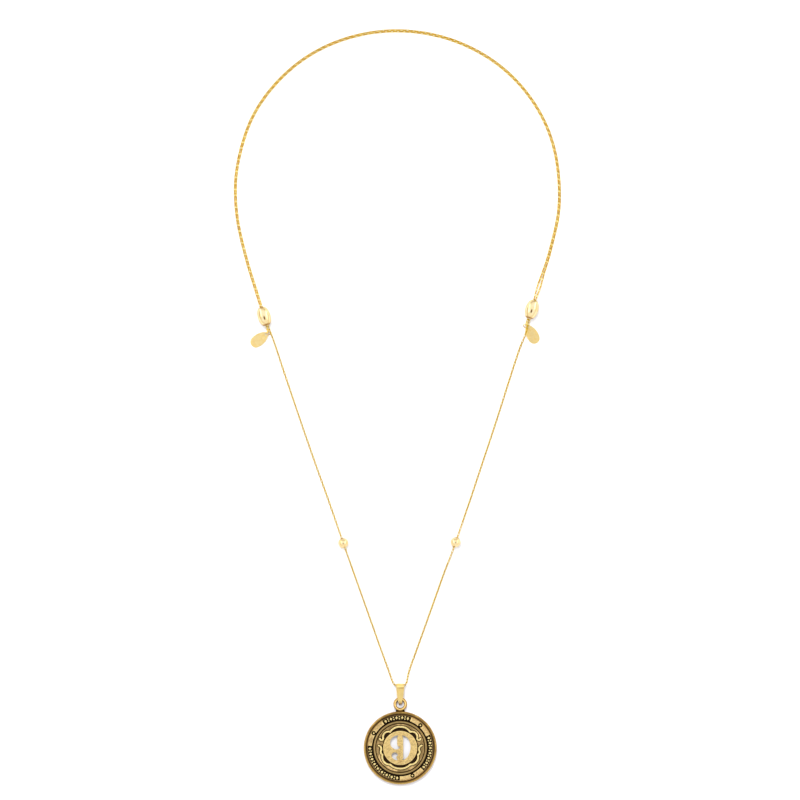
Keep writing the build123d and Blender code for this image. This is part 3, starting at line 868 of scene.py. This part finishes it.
def turnBeads():
    width, bore = bead["sliderWidth"], bead["sliderBore"]
    half = bead["sliderLength"] / 2
    reach = half / sqrt(1 - (bead["sliderEnd"] / width) ** 2)
    longOutline = beadOutline(half, width / 2, reach, bore / 2)
    width, bore = bead["stopperWidth"], bead["stopperBore"]
    half = sqrt(width**2 - (bore + 2 * bead["lip"]) ** 2) / 2
    roundOutline = beadOutline(half, width / 2, width / 2, bore / 2)
    seats = (("left", leftSlider, leftStopper), ("right", rightSlider, rightStopper))
    for side, slider, stopper in seats:
        piece = turnBead(f"{side}Slider", slider, longOutline, bead["sliderFades"])
        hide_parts(f"slider_bead_{side}")
        piece = turnBead(f"{side}Stopper", stopper, roundOutline, bead["stopperFades"])
        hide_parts(f"stopper_bead_{side}")
    print("beads done")


turnBeads()


# Bail

bail |= {
    "crown": 0.05 * mm,  # how far the middle of the band's face stands out
    "edge": 0.09 * mm,  # rounding of the band's edges
    "faceShare": 0.8,  # of the half width, where the face's outermost points lie
    "faceSteps": 5,
    "edgeSteps": 3,
    "turnSteps": 30,
    "runSteps": 26,
    # A shallow seam below the eye, with painted shade in it
    "seamDrop": 1.45 * mm,  # from the top of the bail
    "seamWidth": 0.16 * mm,
    "seamDepth": 0.1 * mm,
    "seamSide": 0.75,  # share of the half width left of the middle where it fades in
    "seamUp": 0.5,  # only the upper side of the band has it
    # Painted shade along the band's edges, at its lower fold and on its inner side
    "rimShade": 0.4,
    "rimPower": 4,
    "footShade": 0.75,
    "footFrom": 0.816,  # share of the length where the dark of the lower fold begins
    "footOver": 0.12,
    "innerShade": 0.9,
}
Taper = namedtuple("Taper", "down width")
bailTaper = [
    Taper(-0.02, 1.0),
    Taper(0.2, 0.96),
    Taper(0.45, 0.85),
    Taper(0.66, 0.74),
    Taper(0.78, 0.5),
    Taper(0.9, 0.39),
    Taper(1.02, 0.37),
]


# Middle line of the folded band seen from the side, with the directions that face out of it
def bandLine():
    eye = np.array((bailAxisY, bail["eye"] / 2))
    fold = np.array((bail["top"] - bail["length"] + bail["fold"] / 2, bail["fold"] / 2))
    between = (eye - fold) / np.linalg.norm(eye - fold)
    down = np.array((0, -1.0))
    up = 2 * (down @ between) * between - down
    upTurn = np.arctan2(up[1], up[0])
    eyeTurn = np.linspace(-pi / 2, upTurn, bail["turnSteps"])
    foldTurn = np.linspace(upTurn, 3 * pi / 2, bail["turnSteps"])
    half = bail["band"] / 2
    along = np.linspace(0, 1, bail["runSteps"] + 1)[1:-1, None]

    def turnAbout(centre, width, turn):
        out = np.stack([np.cos(turn), np.sin(turn)], 1)
        return centre + out * (width / 2 - half), out

    eyeLine, eyeOut = turnAbout(eye, bail["eye"], eyeTurn)
    foldLine, foldOut = turnAbout(fold, bail["fold"], foldTurn)
    front = eyeLine[-1] + along * (foldLine[0] - eyeLine[-1])
    back = foldLine[-1] + along * (eyeLine[0] - foldLine[-1])
    line = np.concatenate([eyeLine, front, foldLine, back])
    out = np.concatenate([eyeOut, along * 0 + up, foldOut, along * 0 + down])
    return line, out


# Points round the band's cut: across it, and out of its middle line
def bandCut(halfWidth):
    edge = bail["edge"]
    half = bail["band"] / 2
    turn = np.linspace(0, pi / 2, bail["edgeSteps"] + 1)
    corner = [halfWidth - edge + edge * np.cos(turn), half - edge + edge * np.sin(turn)]
    corner = np.stack(corner, 1)
    across = np.linspace(bail["faceShare"], -bail["faceShare"], bail["faceSteps"])
    face = across[:, None] * (halfWidth, 0) + (0, half)
    face[:, 1] += bail["crown"] * (1 - (face[:, 0] / halfWidth) ** 2)
    top = np.concatenate([corner, face, corner[::-1] * (-1, 1)])
    under = np.concatenate([corner[::-1] * (-1, -1), corner * (1, -1)])
    return np.concatenate([top, under])


def foldBail():
    taper = smoothLine([Vector((row.down, row.width, 0)) for row in bailTaper], "bailTaper")
    line, out = bandLine()
    down = (bail["top"] - line[:, 0]) / bail["length"]
    widths = np.interp(down, taper[:, 0], taper[:, 1]) * bail["width"] / 2
    # painted shade at the lower fold
    foot = np.clip((down - bail["footFrom"]) / bail["footOver"], 0, 1) * bail["footShade"]
    seamY = bail["top"] - bail["seamDrop"]
    vertices = []
    hidden = []
    for (y, z), (outY, outZ), width, footShade in zip(line, out, widths, foot):
        cut = bandCut(width)
        across = cut[:, 0] / width
        outer = cut[:, 1] > 0
        seam = np.clip(across + bail["seamSide"], 0, 1) * (outZ > bail["seamUp"])
        seam = seam * np.exp(-(((y - seamY) / bail["seamWidth"]) ** 2))
        depth = cut[:, 1] - outer * seam * bail["seamDepth"]
        vertices.append(np.stack([cut[:, 0], y + outY * depth, z + outZ * depth], 1))
        # painted shade in the seam, along the edges and at the fold outside, and all over the
        # inside
        rims = bail["rimShade"] * np.abs(across) ** bail["rimPower"]
        outerShade = np.maximum(seam, np.maximum(rims, footShade))
        hidden.append(np.where(outer, outerShade, bail["innerShade"]))
    piece = meshFromRings("foldedBail", np.concatenate(vertices), len(line), len(cut), 1)
    addValues(piece, "hidden", np.concatenate(hidden))
    piece.data.materials.append(bailGold)
    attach(piece, "root")
    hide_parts("bail")
    print("bail done")


foldBail()


# Medallion, worked in millimetres

medallion |= {
    "voxel": 0.08,
    "softening": 0.5,
    "rounds": 2,
    "cell": 0.1,  # of the height map
    "margin": 1.0,
    "around": 0.3,  # how far the relief is compared with its surroundings
    "aroundReach": 3,  # and how many times as far the bell curve for it is followed
    "triangles": 190000,
}


# Mesh of a piece with its modifiers worked out
def settled(piece):
    graph = bpy.context.evaluated_depsgraph_get()
    return bpy.data.meshes.new_from_object(piece.evaluated_get(graph))


# Corner of a grid over the face, and the face's height on it evened out over its surroundings
def evenHeights(points):
    cell, margin = medallion["cell"], medallion["margin"]
    corner = points[:, :2].min(0) - margin
    place = ((points[:, :2] - corner) / cell).astype(int)
    heights = np.zeros(place.max(0) + int(margin / cell))
    np.maximum.at(heights, (place[:, 0], place[:, 1]), points[:, 2])
    reach = int(medallion["aroundReach"] * medallion["around"] / cell)
    away = np.arange(-reach, reach + 1) * cell / medallion["around"]
    weights = np.exp(-(away**2) / 2)
    weights /= weights.sum()
    even = np.apply_along_axis(np.convolve, 0, heights, weights, "same")
    even = np.apply_along_axis(np.convolve, 1, even, weights, "same")
    return corner, even


def castMedallion():
    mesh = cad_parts["medallion"].data.copy()
    mesh.transform(Matrix.Scale(1 / mm, 4))
    piece = bpy.data.objects.new("castMedallion", mesh)
    bpy.context.scene.collection.objects.link(piece)
    skin = piece.modifiers.new("skin", "REMESH")
    skin.mode = "VOXEL"
    skin.voxel_size = medallion["voxel"]
    soft = piece.modifiers.new("soft", "SMOOTH")
    soft.factor = medallion["softening"]
    soft.iterations = medallion["rounds"]
    piece.data = settled(piece)
    piece.modifiers.clear()
    corner, even = evenHeights(np.array([v.co for v in piece.data.vertices]))
    triangles = 2 * len(piece.data.polygons)
    thin = piece.modifiers.new("thin", "DECIMATE")
    thin.ratio = min(1.0, medallion["triangles"] / triangles)
    piece.data = settled(piece)
    piece.modifiers.clear()
    points = np.array([v.co for v in piece.data.vertices])
    place = ((points[:, :2] - corner) / medallion["cell"]).astype(int)
    relief = points[:, 2] - even[place[:, 0], place[:, 1]]
    piece.data.transform(Matrix.Scale(mm, 4))
    piece.data.shade_smooth()
    piece.data.materials.clear()
    piece.data.materials.append(castGold)
    addValues(piece, "relief", relief)
    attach(piece, "root")
    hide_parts("medallion")
    print("medallion:", triangles, "triangles, thinned to", len(piece.data.polygons), "faces")


castMedallion()


# Pieces kept from the frame

def cover(node, material):
    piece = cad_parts[node]
    piece.data.materials.clear()
    piece.data.materials.append(material)


for side in ("left", "right"):
    cover(f"end_link_{side}", ringGold)
    cover(f"tag_ring_{side}", ringGold)
    cover(f"tag_{side}", satinGold)
print("finishes done")


# Table, light and camera

# Edges in the room are how far a direction points across, along or up, from -1 to 1
studio = {
    "height": 3.0,
    "photoWidth": 0.28,
    "photoCentre": (-0.00007, 0.12172),
    "sensor": 36.0,
    "nearest": 0.05,
    "table": (0.82, 0.84, 0.885),
    "tableShade": 0.985,  # of the table's darker fibres
    "tableFibre": (300.0, 2.0),
    "tableRough": 0.9,
    "tableSize": 4.0,
    "tableDrop": 0.01 * mm,
    "overhead": (1.24, 1.26, 1.33),
    "overheadEdges": (0.05, 0.8),
    "lowFoot": (1.08, 1.02, 0.92),  # low on the medallion's side, which lies a little right
    "lowNeck": (0.72, 0.62, 0.50),  # and low on the neck's
    "lowTurn": 0.5,
    "lowEdge": 0.9,
    "panel": (2.7, 2.6, 2.4),
    "panelAcross": (0.6, 0.85, 0.06),
    "panelAlong": (-0.15, 0.75, 0.12),
    "panelUp": (0.05, 0.2),
    "lensAngle": 12.0,  # degrees off straight up, towards the medallion
    "lensWidth": 13.5,  # degrees, from its middle to its rim
    "lensSoft": 0.15,
    "lens": (0.20, 0.09, 0.012),
    "keyLean": 24.0,  # degrees off straight up, towards the neck
    "keyAway": 1.6,
    "keySize": 0.5,
    "keyPower": 15.0,
    "keySide": -0.13,
}


def makeCamera():
    data = bpy.data.cameras.new("camera")
    data.type = "PERSP"
    data.sensor_width = studio["sensor"]
    data.lens = studio["sensor"] * studio["height"] / studio["photoWidth"]
    data.clip_start = studio["nearest"]
    camera = bpy.data.objects.new("camera", data)
    camera.location = (*studio["photoCentre"], studio["height"])
    bpy.context.scene.collection.objects.link(camera)
    bpy.context.scene.camera = camera


def paintTable(tree, place):
    fibre = tree.noise(place, *studio["tableFibre"])
    darker = tuple(studio["tableShade"] * c for c in studio["table"])
    return {"Base Color": tree.mix(fibre, studio["table"], darker)}


def makeTable():
    mesh = bpy.data.meshes.new("table")
    edge = studio["tableSize"] / 2
    y = studio["photoCentre"][1]
    corners = [(-edge, y - edge), (edge, y - edge), (edge, y + edge), (-edge, y + edge)]
    mesh.from_pydata([(a, b, -studio["tableDrop"]) for a, b in corners], [], [(0, 1, 2, 3)])
    table = bpy.data.objects.new("table", mesh)
    bpy.context.scene.collection.objects.link(table)
    fixed = {"Roughness": studio["tableRough"], "Specular IOR Level": 0.0}
    mesh.materials.append(newMaterial("tableWhite", fixed, paintTable))


# White tent, brightest overhead, with a long bright panel on each side and the dark lens above
def makeRoom():
    world = bpy.data.worlds.new("room")
    bpy.context.scene.world = world
    world.use_nodes = True
    tree = Tree(world.node_tree)
    x, y, z = tree.split(tree.node("ShaderNodeTexCoord", output="Generated"))
    towardsNeck = (y - x * studio["lowTurn"]).rise(-studio["lowEdge"], studio["lowEdge"])
    colour = tree.mix(towardsNeck, studio["lowFoot"], studio["lowNeck"])
    colour = tree.mix(z.rise(*studio["overheadEdges"]), colour, studio["overhead"])
    panels = x.maths("ABSOLUTE").between(*studio["panelAcross"])
    panels = panels * y.between(*studio["panelAlong"]) * z.rise(*studio["panelUp"])
    colour = tree.mix(panels, colour, studio["panel"])
    lean = radians(studio["lensAngle"])
    facing = z * cos(lean) - y * sin(lean)
    width = radians(studio["lensWidth"])
    soft = studio["lensSoft"] * width
    lens = facing.rise(cos(width + soft), cos(width - soft))
    colour = tree.mix(lens, colour, studio["lens"])
    tree.put(world.node_tree.nodes["Background"].inputs["Color"], colour)


def makeKey():
    data = bpy.data.lights.new("key", "AREA")
    data.shape = "DISK"
    data.size = studio["keySize"]
    data.energy = studio["keyPower"]
    key = bpy.data.objects.new("key", data)
    target = Vector((*studio["photoCentre"], 0))
    lean = radians(studio["keyLean"])
    key.location = target + Vector((studio["keySide"], sin(lean), cos(lean))) * studio["keyAway"]
    key.visible_glossy = False  # the metal mirrors the room alone
    key.rotation_euler = (target - key.location).to_track_quat("-Z", "Y").to_euler()
    bpy.context.scene.collection.objects.link(key)


makeCamera()
makeTable()
makeRoom()
makeKey()
bpy.context.scene.view_settings.view_transform = "Standard"
print("studio done")
